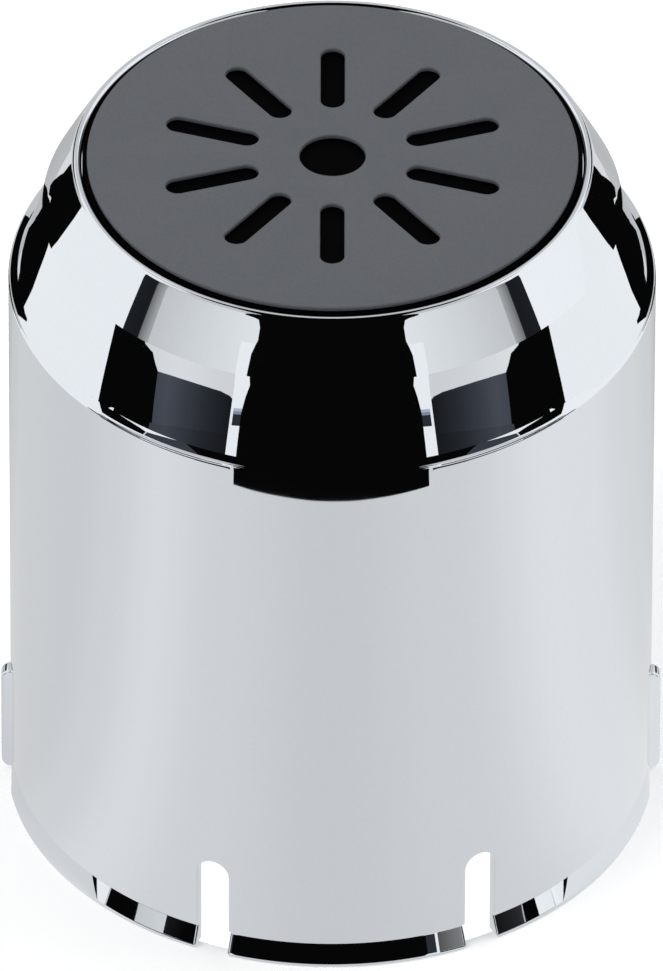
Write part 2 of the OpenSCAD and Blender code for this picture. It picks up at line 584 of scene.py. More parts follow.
@dataclass
class CapShell:
    """The chromed shell: skirt, lip, slots, coved nose and the recess for the discs.

    Attributes:
        sizes: The cap's sizes.
        cove_foot: Where the cove meets the small ledge above the skirt.
        cove_turn: Angle through which the cove turns.
        ledge_lean: Lean of the ledge.
        edge_mid: Middle of the rounding between the ledge and the skirt.
        edge_round: Its radius.
        skirt_over: How far the straight skirt runs on above the CAD's.
        skirt_drops: Depths of the closely set rows below the top of the skirt.
        skirt_steps: Number of steps from the last of them down to the slots.
        flat_rise: How far the side flats reach above the groove.
        floor_rows: Radii of the rows on the recess floor.
        ceiling_rows: Radii of the rows on the ceiling under it.
        beside_rows: Heights of the rows beside the slots.
        arch_shares: Places of the rows over the slots' arches, as shares of the way up.
        edge: Rounding of the slots' outer edges.
        inner_edge: Rounding of the slots' inner edges.
        above: Height at which the rows run level again above the slots.
        step: Largest angle between two columns, in degrees.
        least_step: Smallest such angle.
        support: Distance from a slot to the first column beside it.
        arch_steps: Number of chords in a slot's arch.
        points: The grid's points.
        faces: Its faces.
    """

    sizes: CapSizes
    cove_foot: Point = (52.45, 105.8)
    cove_turn: float = 12.0
    ledge_lean: float = 62.0
    edge_mid: Point = (53.2, 104.55)
    edge_round: float = 0.8
    skirt_over: float = 0.6
    skirt_drops: tuple[float, ...] = (0.15, 0.6, 2.0)
    skirt_steps: int = 14
    flat_rise: float = 1.0
    floor_rows: tuple[float, ...] = (12.0, 30.0)
    ceiling_rows: tuple[float, ...] = (24.0, 10.0)
    beside_rows: tuple[float, ...] = (12.0, 7.0)
    arch_shares: tuple[float, ...] = (0.6, 0.3, 0.06, 0.0)
    edge: float = 0.25
    inner_edge: float = 0.12
    above: float = 22.0
    step: float = 1.25
    least_step: float = 0.1
    support: float = 0.25
    arch_steps: int = 14
    points: list[Point3] = field(default_factory=list)
    faces: list[tuple[int, ...]] = field(default_factory=list)

    def nose_rows(self) -> list[Point]:
        """Gives the outer section from the recess floor down to the top of the skirt."""
        s = self.sizes
        cone = bowed(s.bead_foot, s.crease, s.crown_turn, 16)
        cove = bowed(s.crease, self.cove_foot, -self.cove_turn, 40)
        edge = arc(self.edge_mid, self.edge_round, self.ledge_lean, 0, 12)
        flank = cone + cove[1:] + edge
        rows = [(r, s.recess_z) for r in (*self.floor_rows, s.recess_r - 0.1)]
        rows += [(s.recess_r, s.recess_z), (s.recess_r, s.bead[1] - 0.1)]
        rows += arc(s.bead, s.bead_round, 180, s.bead_lean, 20)
        return rows + flank[1:]

    def skirt_rows(self, r: float) -> list[Point]:
        """Gives the level rows of the skirt between the shoulder and the slots."""
        top, stop = self.sizes.skirt_top + self.skirt_over, self.above
        heights = [top - drop for drop in self.skirt_drops]
        last, count = heights[-1], self.skirt_steps
        heights += [last - (last - stop) * i / count for i in range(1, count)]
        return [(r, z) for z in heights]

    def low_rows(self) -> list[Point]:
        """Gives the outer section from the slots' arches down to the open rim."""
        s = self.sizes
        flat_top = s.groove_z + self.flat_rise
        heights = [s.slot_h - s.slot_w / 2, *self.beside_rows, flat_top + 0.04, flat_top]
        rows = [(s.skirt_r, z) for z in heights]
        rows += [(s.skirt_r, s.lip_h + 0.08), (s.skirt_r - 0.04, s.lip_h - 0.02)]
        rows += [(s.groove_r, s.groove_z + s.groove_h), (s.groove_r, s.groove_z)]
        edge = arc(s.lip_mid, s.lip_round, s.lip_lean, -90, 8)
        start, top = edge[0], rows[-1]
        for t in (0.06, 0.5, 0.94):
            rows.append((top[0] + (start[0] - top[0]) * t, top[1] + (start[1] - top[1]) * t))
        return rows + edge

    def hollow_rows(self) -> list[Point]:
        """Gives the inner section from the top of the bore up to the middle of the ceiling."""
        s = self.sizes
        ceiling = s.recess_z - s.floor_t
        cone = bowed(s.bead_foot, s.crease, s.crown_turn, 12, s.wall)
        cove = bowed(s.crease, s.shoulder, -s.cove_turn, 20, s.wall)
        flank = [p for p in cone + cove if p[1] > s.skirt_top + 0.5]
        flank.sort(key=lambda p: p[1])
        rows = [(s.bore_r, s.skirt_top - 0.2), (s.bore_r, s.skirt_top)]
        for p in flank:
            if p[1] < ceiling - 0.05:
                rows.append((min(p[0], rows[-1][0]), p[1]))
            else:
                last = rows[-1]
                share = (ceiling - last[1]) / max(p[1] - last[1], 1e-6)
                rows.append((last[0] + (p[0] - last[0]) * share, ceiling))
                break
        return rows + [(r, ceiling) for r in (rows[-1][0] - 0.3, *self.ceiling_rows)]

    def mouth(self, z: float) -> float:
        """Gives how far a slot widens at a height, by the rounding of its mouth."""
        m = self.sizes.mouth_round
        return m - sqrt(max(m * m - (m - z) ** 2, 0.0)) if z < m else 0.0

    def next_turn(self, k: int) -> float:
        """Gives the turn of the slot after a slot."""
        turns = self.sizes.slot_turns
        return turns[k + 1] if k + 1 < len(turns) else turns[0] + 360.0

    def columns(self) -> list[tuple[int, float, float]]:
        """Lays out the columns of the grid round the cap.

        Returns:
            For each column the number of the slot before it, its offset along the slot's
            width in half widths (or 2 for a free column) and its share of the way to the next slot.
        """
        s = self.sizes
        marks: list[tuple[int, float, float]] = []
        reach = degrees(asin((s.slot_w / 2 + self.edge) / s.skirt_r))
        wanted = []
        flat = s.skirt_r - s.flat_inset
        for side in (90.0, 270.0):
            for r in (s.skirt_r + s.lip_out, s.skirt_r):
                half = degrees(atan2(sqrt(r * r - flat**2), flat))
                wanted += [side - half, side + half]
        for k, turn in enumerate(s.slot_turns):
            for i in range(self.arch_steps + 1):
                marks.append((k, -1.0 + 2.0 * i / self.arch_steps, 0.0))
            start, stop = turn + reach, self.next_turn(k) - reach
            count = ceil((stop - start) / self.step)
            shares = [i / count for i in range(1, count)]
            support = self.support / s.skirt_r * 180 / pi / (stop - start)
            shares += [support, 1 - support]
            shares += [(w - start) / (stop - start) for w in wanted if start < w < stop]
            kept: list[float] = []
            for share in sorted(shares):
                if not kept or (share - kept[-1]) * (stop - start) > self.least_step:
                    kept.append(share)
            marks += [(k, 2.0, share) for share in kept]
        return marks

    def turn_of(self, mark: tuple[int, float, float], r: float, z: float, offset: float) -> float:
        """Gives a column's angle from the front at a radius and a height.

        Args:
            mark: The column.
            r: Radius of the surface.
            z: Height of the row.
            offset: How far the slot's edge lies outside the slot's width.

        Returns:
            The angle in degrees.
        """
        s = self.sizes
        k, across, share = mark
        half = s.slot_w / 2 + offset + self.mouth(z)
        if across <= 1.0:
            return s.slot_turns[k] + degrees(asin(half * sin(across * pi / 2) / r))
        reach = degrees(asin(half / r))
        start, stop = s.slot_turns[k] + reach, self.next_turn(k) - reach
        return start + (stop - start) * share

    def add(self, r: float, turn: float, z: float, flat: bool = False) -> int:
        """Adds a point of the grid.

        Args:
            r: Radius.
            turn: Angle from the front, in degrees.
            z: Height.
            flat: Whether the side flats cut this row.

        Returns:
            The point's index.
        """
        half = self.sizes.skirt_r - self.sizes.flat_inset
        side = abs(sin(radians(turn)))
        if flat and side * r > half:
            r = half / side
        self.points.append((r * sin(radians(turn)), -r * cos(radians(turn)), z))
        return len(self.points) - 1

    def arch(self, across: float, offset: float) -> float:
        """Gives the height of a slot's arch at a share of its half width."""
        s = self.sizes
        return s.slot_h - s.slot_w / 2 + (s.slot_w / 2 + offset) * cos(across * pi / 2)

    def level_rings(self, rows: list[Point], marks: list, inside: bool) -> list[list[int]]:
        """Adds rows that each run at one height.

        Args:
            rows: The section.
            marks: The columns.
            inside: Whether the rows belong to the inner skin.

        Returns:
            The rows.
        """
        s = self.sizes
        base, offset = (s.bore_r, self.inner_edge) if inside else (s.skirt_r, self.edge)
        turns = [self.turn_of(m, base, ABOVE_MOUTH, offset) for m in marks]
        return [[self.add(r, turn, z) for turn in turns] for r, z in rows]

    def arch_rings(self, r: float, marks: list, offset: float) -> list[list[int]]:
        """Adds the rows between the slots' arches and the level rows above them.

        Args:
            r: Radius of the surface.
            marks: The columns.
            offset: How far the slots' edges lie outside their width.

        Returns:
            The rows from the top down to the arches.
        """
        s = self.sizes
        foot = s.slot_h - s.slot_w / 2
        rings = []
        for share in self.arch_shares:
            ring = []
            for m in marks:
                base = self.arch(m[1], offset) if m[1] <= 1.0 else foot
                z = base + (self.above - base) * share
                ring.append(self.add(r, self.turn_of(m, r, ABOVE_MOUTH, offset), z))
            rings.append(ring)
        return rings

    def low_rings(
        self, rows: list[Point], marks: list, offset: float, flats: bool
    ) -> list[list[Optional[int]]]:
        """Adds the rows beside the slots, which leave the slots open.

        Args:
            rows: The section, downwards.
            marks: The columns.
            offset: How far the slots' edges lie outside their width.
            flats: Whether the side flats cut the rows.

        Returns:
            The rows, with nothing inside the slots.
        """
        flat_top = self.sizes.groove_z + self.flat_rise + 1e-6
        rings = []
        for r, z in rows:
            ring: list[Optional[int]] = []
            for m in marks:
                if abs(m[1]) < 1.0:
                    ring.append(None)
                else:
                    turn = self.turn_of(m, r, z, offset)
                    ring.append(self.add(r, turn, z, flats and z <= flat_top))
            rings.append(ring)
        return rings

    def skin(self, rings: list[list[Optional[int]]]) -> None:
        """Joins neighbouring rows with faces, where both have points."""
        for upper, lower in zip(rings, rings[1:]):
            self.faces += band(upper, lower)

    def cap_pole(self, ring: list[int], z: float) -> None:
        """Closes a row with a fan at the axis."""
        self.points.append((0.0, 0.0, z))
        self.faces += fan(len(self.points) - 1, ring)

    def slot_walls(
        self,
        marks: list,
        outer: list[list[Optional[int]]],
        inner: list[list[Optional[int]]],
        rows: list[Point],
    ) -> None:
        """Joins the outer and the inner skin round each slot, with rounded edges.

        Args:
            marks: The columns.
            outer: Outer rows from the arches down to the rim.
            inner: Inner rows from the arches down to the rim.
            rows: The outer section of the same rows.
        """
        s = self.sizes
        for k, turn in enumerate(s.slot_turns):
            cols = [i for i, m in enumerate(marks) if m[0] == k and m[1] <= 1.0]
            trail: list[tuple[int, int]] = [(j, cols[-1]) for j in range(len(rows) - 1, 0, -1)]
            trail += [(0, c) for c in reversed(cols)]
            trail += [(j, cols[0]) for j in range(1, len(rows))]

            def loop(offset: float, depth: float, from_inside: bool) -> list[int]:
                """Adds the points of one line along the wall of the slot."""
                made = []
                for j, c in trail:
                    across = marks[c][1]
                    r = s.bore_r + depth if from_inside else rows[j][0] - depth
                    z = self.arch(across, offset) if j == 0 else rows[j][1]
                    half = s.slot_w / 2 + offset + (self.mouth(z) if j else 0.0)
                    x = half * sin(across * pi / 2)
                    made.append(self.add(r, turn + degrees(asin(x / r)), z))
                return made

            loops = [[outer[j][c] for j, c in trail]]
            outer_arc = [(self.edge, phi, False) for phi in (30, 60, 90)]
            inner_arc = [(self.inner_edge, phi, True) for phi in (90, 45)]
            for edge, phi, from_inside in outer_arc + inner_arc:
                a = radians(phi)
                loops.append(loop(edge * (1 - sin(a)), edge * (1 - cos(a)), from_inside))
            loops.append([inner[j][c] for j, c in trail])
            for one, two in zip(loops, loops[1:]):
                for i in range(len(one) - 1):
                    self.faces.append((one[i], one[i + 1], two[i + 1], two[i]))
            self.faces.append(tuple(line[0] for line in loops))
            self.faces.append(tuple(line[-1] for line in loops))

    def build(self) -> bpy.types.Object:
        """Builds the shell.

        Returns:
            The piece.
        """
        s = self.sizes
        marks = self.columns()
        outside = self.nose_rows() + self.skirt_rows(s.skirt_r) + [(s.skirt_r, self.above)]
        rings = self.level_rings(outside, marks, inside=False)
        self.cap_pole(rings[0], s.recess_z)
        arches = self.arch_rings(s.skirt_r, marks, self.edge)
        rows = self.low_rows()
        low = self.low_rings(rows[1:], marks, self.edge, True)
        self.skin(rings + arches + low)

        bore = [(s.bore_r, z) for _, z in rows]
        inner_arches = self.arch_rings(s.bore_r, marks, self.inner_edge)
        inner_low = self.low_rings(bore[1:], marks, self.inner_edge, False)
        straight = reversed(self.skirt_rows(s.bore_r)[2:])
        upward = [(s.bore_r, self.above), *straight, *self.hollow_rows()]
        rings = self.level_rings(upward, marks, inside=True)[::-1]
        self.cap_pole(rings[0], s.recess_z - s.floor_t)
        self.skin(rings + inner_arches + inner_low)
        self.skin([low[-1], inner_low[-1]])
        self.slot_walls(marks, [arches[-1]] + low, [inner_arches[-1]] + inner_low, rows)
        mesh = closed_mesh("chrome_shell", self.points, self.faces)
        piece = finished_piece("chrome_shell", mesh, CHROME, "cap_shell")
        self.keep_crease(mesh)
        return piece

    def keep_crease(self, mesh: bpy.types.Mesh) -> None:
        """Marks the crease ring and the foot of the cove as crisp edges.

        Args:
            mesh: The shell's mesh.
        """
        for r, z in (self.sizes.crease, self.cove_foot):
            spots = [(hypot(v.co.x, v.co.y), v.co.z) for v in mesh.vertices]
            near = [hypot(far - r * MM, up - z * MM) < NEAR for far, up in spots]
            for edge in mesh.edges:
                if all(near[i] for i in edge.vertices):
                    edge.use_edge_sharp = True


# ---------------------------------------------------------------- geometry node trees


@dataclass
class TreeBuilder:
    """A small helper that lays out one Geometry Nodes tree with named inputs.

    Attributes:
        name: Name of the tree.
        tree: The tree.
        start: Its node with the inputs.
        ids: The inputs' socket identifiers by their names.
    """

    name: str
    tree: bpy.types.NodeTree = field(init=False)
    start: bpy.types.Node = field(init=False)
    ids: dict[str, str] = field(default_factory=dict)

    def __post_init__(self) -> None:
        """Makes the empty tree with its geometry sockets."""
        self.tree = bpy.data.node_groups.new(self.name, "GeometryNodeTree")
        for way in ("INPUT", "OUTPUT"):
            self.tree.interface.new_socket("Geometry", in_out=way, socket_type="NodeSocketGeometry")
        self.start = self.tree.nodes.new("NodeGroupInput")

    def value(self, name: str, default: float, whole: bool = False) -> None:
        """Adds a named input.

        Args:
            name: The input's name.
            default: Its value when nothing else is set.
            whole: Whether it is a whole number.
        """
        kind = "NodeSocketInt" if whole else "NodeSocketFloat"
        made = self.tree.interface.new_socket(name, in_out="INPUT", socket_type=kind)
        made.default_value = int(default) if whole else default
        self.ids[name] = made.identifier

    def input(self, name: str) -> bpy.types.NodeSocket:
        """Gives a named input inside the tree."""
        return self.start.outputs[name]

    def node(
        self, kind: str, inputs: Optional[dict] = None, **settings: object
    ) -> bpy.types.NodeSocket:
        """Adds a node and gives its first output."""
        return add_node(self.tree, kind, inputs, **settings).outputs[0]

    def calc(self, operation: str, first: object, second: object) -> bpy.types.NodeSocket:
        """Adds a Math node and gives its result."""
        return maths(self.tree, operation, first, second)

    def moved(
        self, shape: bpy.types.NodeSocket, axis: str, distance: object
    ) -> bpy.types.NodeSocket:
        """Moves a shape along an axis."""
        shift = self.node("ShaderNodeCombineXYZ", {axis: distance})
        return self.node("GeometryNodeTransform", {"Geometry": shape, "Translation": shift})

    def round_axis(
        self, shape: bpy.types.NodeSocket, count: str, shift: float
    ) -> bpy.types.NodeSocket:
        """Sets copies of a shape evenly round the axis.

        Args:
            shape: The shape.
            count: Name of the input that holds the number of copies.
            shift: Turn of the first copy, as a share of the angle between two.

        Returns:
            The copies.
        """
        spots = self.node("GeometryNodePoints", {"Count": self.input(count)})
        index = self.node("GeometryNodeInputIndex")
        step = self.calc("DIVIDE", 2 * pi, self.input(count))
        turn = self.calc("MULTIPLY", self.calc("ADD", index, shift), step)
        angles = self.node("ShaderNodeCombineXYZ", {"Z": turn})
        rotation = self.node("FunctionNodeEulerToRotation", {"Euler": angles})
        inputs = {"Points": spots, "Instance": shape, "Rotation": rotation}
        return self.node("GeometryNodeInstanceOnPoints", inputs)

    def finish(self, geometry: bpy.types.NodeSocket, material: bpy.types.Material) -> None:
        """Ends the tree with Realize Instances and Set Material.

        Args:
            geometry: What the tree made.
            material: The finish of all of it.
        """
        real = self.node("GeometryNodeRealizeInstances", {"Geometry": geometry})
        inputs = {"Geometry": real, "Material": material}
        add_node(self.tree, "NodeGroupOutput", {0: self.node("GeometryNodeSetMaterial", inputs)})

    def applied(
        self,
        base: bpy.types.Mesh,
        values: dict[str, float],
        finishing: Optional[Callable[[bpy.types.Object], None]] = None,
    ) -> bpy.types.Mesh:
        """Runs the tree on a mesh and gives the plain result.

        Args:
            base: The mesh that goes in.
            values: The inputs' values by their names.
            finishing: Adds more modifiers after the tree.

        Returns:
            The resulting mesh.
        """
        carrier = place(self.name, base)
        modifier = carrier.modifiers.new(self.name, "NODES")
        modifier.node_group = self.tree
        for name, value in values.items():
            modifier[self.ids[name]] = value
        if finishing:
            finishing(carrier)
        bpy.context.view_layer.update()
        graph = bpy.context.evaluated_depsgraph_get()
        mesh = bpy.data.meshes.new_from_object(carrier.evaluated_get(graph))
        bpy.data.objects.remove(carrier)
        return mesh


@dataclass
class RetainingRibs:
    """The two upright ribs on the sides of the skirt.

    Attributes:
        sizes: The cap's sizes.
        steps: Chords of each rounding.
        cover: Thickness of the skirt left inside the ribs' roots.
    """

    sizes: CapSizes
    steps: int = 6
    cover: float = 0.4

    def blank(self) -> bpy.types.Mesh:
        """Builds one rib at the +X side.

        Returns:
            The rib's mesh.
        """
        s = self.sizes
        root, out = s.skirt_r - s.wall + self.cover, s.skirt_r + s.rib_out
        rows: list[tuple[float, float]] = []
        for i in range(self.steps + 1):
            t = radians(90 * i / self.steps)
            rows.append((s.rib_round - s.rib_round * cos(t), s.rib_round - s.rib_round * sin(t)))
        profile = [(inset, z) for z, inset in rows]
        profile += [(inset, s.rib_h - z) for z, inset in reversed(rows)]
        points: list[Point3] = []
        rings: list[list[int]] = []
        half, edge = s.rib_w / 2, s.rib_edge
        for inset, z in profile:
            face = out - inset
            ring = [(root, -half)]
            turns = [radians(a) for a in range(0, 91, 15)]
            corner = [(face - edge + edge * sin(a), half - edge + edge * cos(a)) for a in turns]
            ring += [(x, -y) for x, y in corner]
            ring += [(x, y) for x, y in reversed(corner)]
            ring.append((root, half))
            rings.append(list(range(len(points), len(points) + len(ring))))
            points += [(x, y, z) for x, y in ring]
        faces: list[tuple[int, ...]] = []
        for lower, upper in zip(rings, rings[1:]):
            faces += band(lower, upper)
        faces += [tuple(reversed(rings[0])), tuple(rings[-1])]
        return closed_mesh("rib_blank", points, faces)

    def tree(self) -> TreeBuilder:
        """Lays out the tree that sets the rib round the axis.

        Returns:
            The tree.
        """
        t = TreeBuilder("ribs_round_skirt")
        t.value("Count", 2, whole=True)
        t.finish(t.round_axis(t.input("Geometry"), "Count", 0.0), CHROME.material())
        return t

    def build(self) -> bpy.types.Object:
        """Builds both ribs as one piece."""
        mesh = self.tree().applied(self.blank(), {"Count": 2})
        return finished_piece("retaining_ribs", mesh, CHROME, "cap_shell")


@dataclass
class BackingDisc:
    """The black disc under the face plate.

    Attributes:
        sizes: The cap's sizes.
        columns: Number of columns round the disc.
        under_edge: Bevel of its lower edge.
        middle_row: Radius of the row on its upper face.
    """

    sizes: CapSizes
    columns: int = 180
    under_edge: float = 0.05
    middle_row: float = 20.0

    def build(self) -> bpy.types.Object:
        """Builds the disc with its rounded upper edge.

        Returns:
            The piece.
        """
        s = self.sizes
        low, high = s.recess_z, s.recess_z + s.backing_t
        bevel = self.under_edge
        rows = [(s.backing_r - 1.0, low), (s.backing_r - bevel, low), (s.backing_r, low + bevel)]
        rows += arc((s.backing_r - s.disc_round, high - s.disc_round), s.disc_round, 0, 90, 6)
        rows += [(s.backing_r - 1.2, high), (self.middle_row, high)]
        points: list[Point3] = []
        faces: list[tuple[int, ...]] = []
        n = self.columns
        for r, z in rows:
            points += round_row(r, z, n)
        rings = [range(j * n, (j + 1) * n) for j in range(len(rows))]
        for lower, upper in zip(rings, rings[1:]):
            faces += band(lower, upper)
        for z, ring in ((low, rings[0]), (high, rings[-1])):
            points.append((0.0, 0.0, z))
            faces += fan(len(points) - 1, ring)
        mesh = closed_mesh("backing_disc_visual", points, faces)
        return finished_piece("black_backing", mesh, SATIN_BLACK, "backing_disc")


@dataclass
class FacePlate:
    """The grey plate with its ring of radial cut-outs.

    Attributes:
        sizes: The cap's sizes.
        rim_steps: Number of chords of the rim.
        hub_steps: Number of chords of the middle hole.
        nose_steps: Number of chords at each corner of a cut-out.
        bevel_steps: Number of chords of the edges' rounding.
        bevel_angle: Angle above which an edge is rounded, in degrees.
    """

    sizes: CapSizes
    rim_steps: int = 240
    hub_steps: int = 64
    nose_steps: int = 12
    bevel_steps: int = 3
    bevel_angle: float = 40.0

    def tree(self) -> TreeBuilder:
        """Lays out the tree that cuts the plate.

        Returns:
            The tree.
        """
        t = TreeBuilder("plate_with_cut_outs")
        cuts = ("Cut Width", "Cut Inner", "Cut Outer")
        for name in ("Radius", "Height", "Thickness", "Hub Radius", *cuts):
            t.value(name, 1.0)
        t.value("Cut Count", 10, whole=True)
        width, inner, outer = (t.input(name) for name in cuts)
        circle = "GeometryNodeCurvePrimitiveCircle"
        rim = t.node(circle, {"Resolution": self.rim_steps, "Radius": t.input("Radius")})
        hub = t.node(circle, {"Resolution": self.hub_steps, "Radius": t.input("Hub Radius")})
        length = t.calc("SUBTRACT", outer, inner)
        bar = t.node("GeometryNodeCurvePrimitiveQuadrilateral", {"Width": length, "Height": width})
        nose = t.calc("MULTIPLY", width, NEARLY_HALF)
        inputs = {"Curve": bar, "Radius": nose, "Count": self.nose_steps}
        rounded = t.node("GeometryNodeFilletCurve", inputs, mode="POLY")
        half = t.calc("MULTIPLY", t.calc("ADD", outer, inner), 0.5)
        copies = t.round_axis(t.moved(rounded, "X", half), "Cut Count", 0.5)
        real = t.node("GeometryNodeRealizeInstances", {"Geometry": copies})
        outlines = t.node("GeometryNodeJoinGeometry", {0: [rim, hub, real]})
        sheet = t.node("GeometryNodeFillCurve", {"Curve": outlines}, mode="NGONS")
        lift = t.node("ShaderNodeCombineXYZ", {"Z": t.input("Thickness")})
        inputs = {"Mesh": sheet, "Offset": lift, "Individual": False}
        solid = t.node("GeometryNodeExtrudeMesh", inputs)
        under = t.node("GeometryNodeFlipFaces", {"Mesh": sheet})
        both = t.node("GeometryNodeJoinGeometry", {0: [solid, under]})
        merged = t.node("GeometryNodeMergeByDistance", {"Geometry": both, "Distance": NEAR})
        t.finish(t.moved(merged, "Z", t.input("Height")), SATIN_GREY.material())
        return t

    def round_edges(self, carrier: bpy.types.Object) -> None:
        """Adds the small rounding of the plate's edges."""
        bevel = carrier.modifiers.new("edges", "BEVEL")
        bevel.width = self.sizes.disc_round * MM
        bevel.segments = self.bevel_steps
        bevel.limit_method = "ANGLE"
        bevel.angle_limit = radians(self.bevel_angle)
        bevel.harden_normals = False

    def build(self) -> bpy.types.Object:
        """Builds the plate.

        Returns:
            The piece.
        """
        s = self.sizes
        lengths = {"Radius": s.plate_r, "Height": s.plate_z, "Thickness": s.plate_t}
        lengths |= {"Hub Radius": s.hub_r, "Cut Width": s.cut_w}
        lengths |= {"Cut Inner": s.cut_inner_r, "Cut Outer": s.cut_outer_r}
        values = {name: length * MM for name, length in lengths.items()}
        values["Cut Count"] = s.cut_count
        mesh = self.tree().applied(bpy.data.meshes.new("plate_start"), values, self.round_edges)
        return finished_piece("grey_face", mesh, SATIN_GREY, "face_plate")


# ---------------------------------------------------------------- studio


def mirrored(columns: Sequence[tuple[float, ...]]) -> list[tuple[float, ...]]:
    """Puts an outline's mirror image before it, to make one outline across the front.

    Args:
        columns: The outline on one side, from the front outwards.

    Returns:
        The whole outline.
    """
    return [(-turn, *rest) for turn, *rest in reversed(columns)] + list(columns)


@dataclass
class Studio:
    """The pale floor, the soft light, the cards that the chrome mirrors and the camera.

    Attributes:
        world_level: Brightness of the soft light all round.
        black_level: Brightness of the black cards.
        white_level: Brightness of the softboxes.
        pools: Brightness of the floor round the cap, as share of a turn and level.
        dark_tint: Colour of the dark cards.
        plain_tint: Colour of the other cards.
        floor_rings: Radii of the floor's rows in metres.
        floor_steps: Number of points in each row.
        canopy_steps: Number of chords along the canopy.
        painted_light_radius: How far the painted light on the floor under the cap reaches from the
            axis.
        paint_level: Colour of the floor, to all but the camera.
        paint_lift: What the camera sees added to it.
        floor_glow: Glow of the floor that only the camera sees.
        painted_light_glow: Painted light that the floor under the cap adds to it, a glow that takes
            away the cap's shade there.
        lamp_aim: Height of the point that the lamps look at.
        card_step: Widest step between two columns of a card, in degrees.
        camera_far: Distance of the camera in metres.
        camera_rise: Its angle above the floor, in degrees.
        camera_roll: Its turn about its own line of sight, in degrees.
        aim_height: Height of the point that it looks at.
        focal: Its focal length in millimetres.
    """

    world_level: float = 0.74
    black_level: float = 0.002
    white_level: float = 0.92
    pools: tuple[Point, ...] = (
        (0.0, 0.5), (0.07, 0.48), (0.09, 0.51), (0.12, 0.62), (0.155, 0.67), (0.26, 0.66),
        (0.3, 0.7), (0.35, 0.775), (0.41, 0.7), (0.5, 0.635), (0.6, 0.69), (0.7, 0.815),
        (0.74, 0.805), (0.82, 0.72), (0.87, 0.66), (0.92, 0.51), (1.0, 0.5),
    )
    dark_tint: Point3 = (0.86, 0.96, 1.18)
    plain_tint: Point3 = (0.99, 0.995, 1.0)
    floor_rings: tuple[float, ...] = (0.3, 1.0, 5.0, 60.0)
    floor_steps: int = 64
    canopy_steps: int = 40
    painted_light_radius: float = 0.0525
    paint_level: float = 0.8
    paint_lift: float = 0.2
    floor_glow: float = 0.22
    painted_light_glow: float = 0.7
    lamp_aim: float = 0.06
    card_step: float = 1.5
    camera_far: float = 4.77
    camera_rise: float = 38.66
    camera_roll: float = 0.178
    aim_height: float = 0.05974
    focal: float = 1054.3

    def glow(self, kind: Card) -> bpy.types.Material:
        """Makes the glowing material of one kind of card, with its level in an attribute.

        Args:
            kind: The kind of card.

        Returns:
            The material.
        """
        name = f"{kind.value}_glow"
        known = bpy.data.materials.get(name)
        if known:
            return known
        material = bpy.data.materials.new(name)
        tree = bare_tree(material)
        level = add_node(tree, "ShaderNodeAttribute", attribute_name="level").outputs["Fac"]
        tint = self.dark_tint if kind is Card.DARK else self.plain_tint
        light = add_node(tree, "ShaderNodeEmission", {"Color": (*tint, 1.0), "Strength": level})
        add_node(tree, "ShaderNodeOutputMaterial", {"Surface": light.outputs[0]})
        return material

    def stage_card(
        self, kind: Card, name: str, points: list[Point3], faces: list, levels: list[float]
    ) -> None:
        """Adds a card that only the polished metal sees.

        Args:
            kind: The kind of card.
            name: Name of the card.
            points: Its points in metres.
            faces: Its faces.
            levels: Its brightness at each point.
        """
        mesh = bpy.data.meshes.new(name)
        mesh.from_pydata(points, [], faces)
        mesh.attributes.new("level", "FLOAT", "POINT").data.foreach_set("value", levels)
        mesh.materials.append(self.glow(kind))
        card = place(f"{kind.value}_{name}", mesh)
        card.visible_camera = card.visible_diffuse = card.visible_shadow = False

    def card(
        self,
        kind: Card,
        name: str,
        radius: float,
        columns: Sequence[tuple[float, ...]],
        level: Optional[float] = None,
        twin: bool = True,
        height: float = 0.5,
    ) -> None:
        """Makes a curved card round the cap, or a sheet on the floor, and its twin.

        Args:
            kind: What the card shows.
            name: Name of the card.
            radius: Distance from the axis in millimetres, or 0 for a sheet on the floor.
            columns: Its outline as columns: direction from the front in degrees, lower and
                upper end in millimetres (for a sheet its near and far end), and brightness.
            level: Brightness of the whole card where its columns give none, or None
                for that of its kind.
            twin: Whether a second card stands on the other side.
            height: Height of a sheet in millimetres.
        """
        points: list[Point3] = []
        faces: list[tuple[int, ...]] = []
        levels: list[float] = []
        if len(columns[0]) == 3:
            own = self.black_level if kind is Card.BLACK else self.white_level
            columns = [(*column, own if level is None else level) for column in columns]
        rows: list[tuple[float, ...]] = [columns[0]]
        for one, two in zip(columns, columns[1:]):
            steps = max(1, ceil(abs(two[0] - one[0]) / self.card_step))
            for i in range(1, steps + 1):
                rows.append(tuple(a + (b - a) * i / steps for a, b in zip(one, two)))
        for side in (1.0, -1.0) if twin else (1.0,):
            base = len(points)
            for turn, low, high, glow in rows:
                a = radians(turn)
                for reach in (low, high):
                    r, z = (radius, reach) if radius else (reach, height)
                    points.append((side * r * MM * sin(a), -r * MM * cos(a), z * MM))
                    levels.append(glow)
            for i in range(len(rows) - 1):
                p = base + 2 * i
                faces.append((p, p + 1, p + 3, p + 2))
        self.stage_card(kind, name, points, faces, levels)

    def canopy(self, reach: float, share: float, start: float, stop: float) -> None:
        """Makes the black strip that runs over the cap from the front to the back.

        Args:
            reach: Distance of the strip in metres.
            share: Its half width as a share of that distance.
            start: Angle at which it begins, from the front and in degrees.
            stop: Angle at which it ends.
        """
        steps = self.canopy_steps
        points: list[Point3] = []
        for i in range(steps + 1):
            a = radians(start + (stop - start) * i / steps)
            for side in (-1.0, 1.0):
                points.append((side * reach * share, -reach * cos(a), reach * sin(a)))
        faces = [(2 * i, 2 * i + 1, 2 * i + 3, 2 * i + 2) for i in range(steps)]
        self.stage_card(Card.BLACK, "canopy", points, faces, [self.black_level] * len(points))

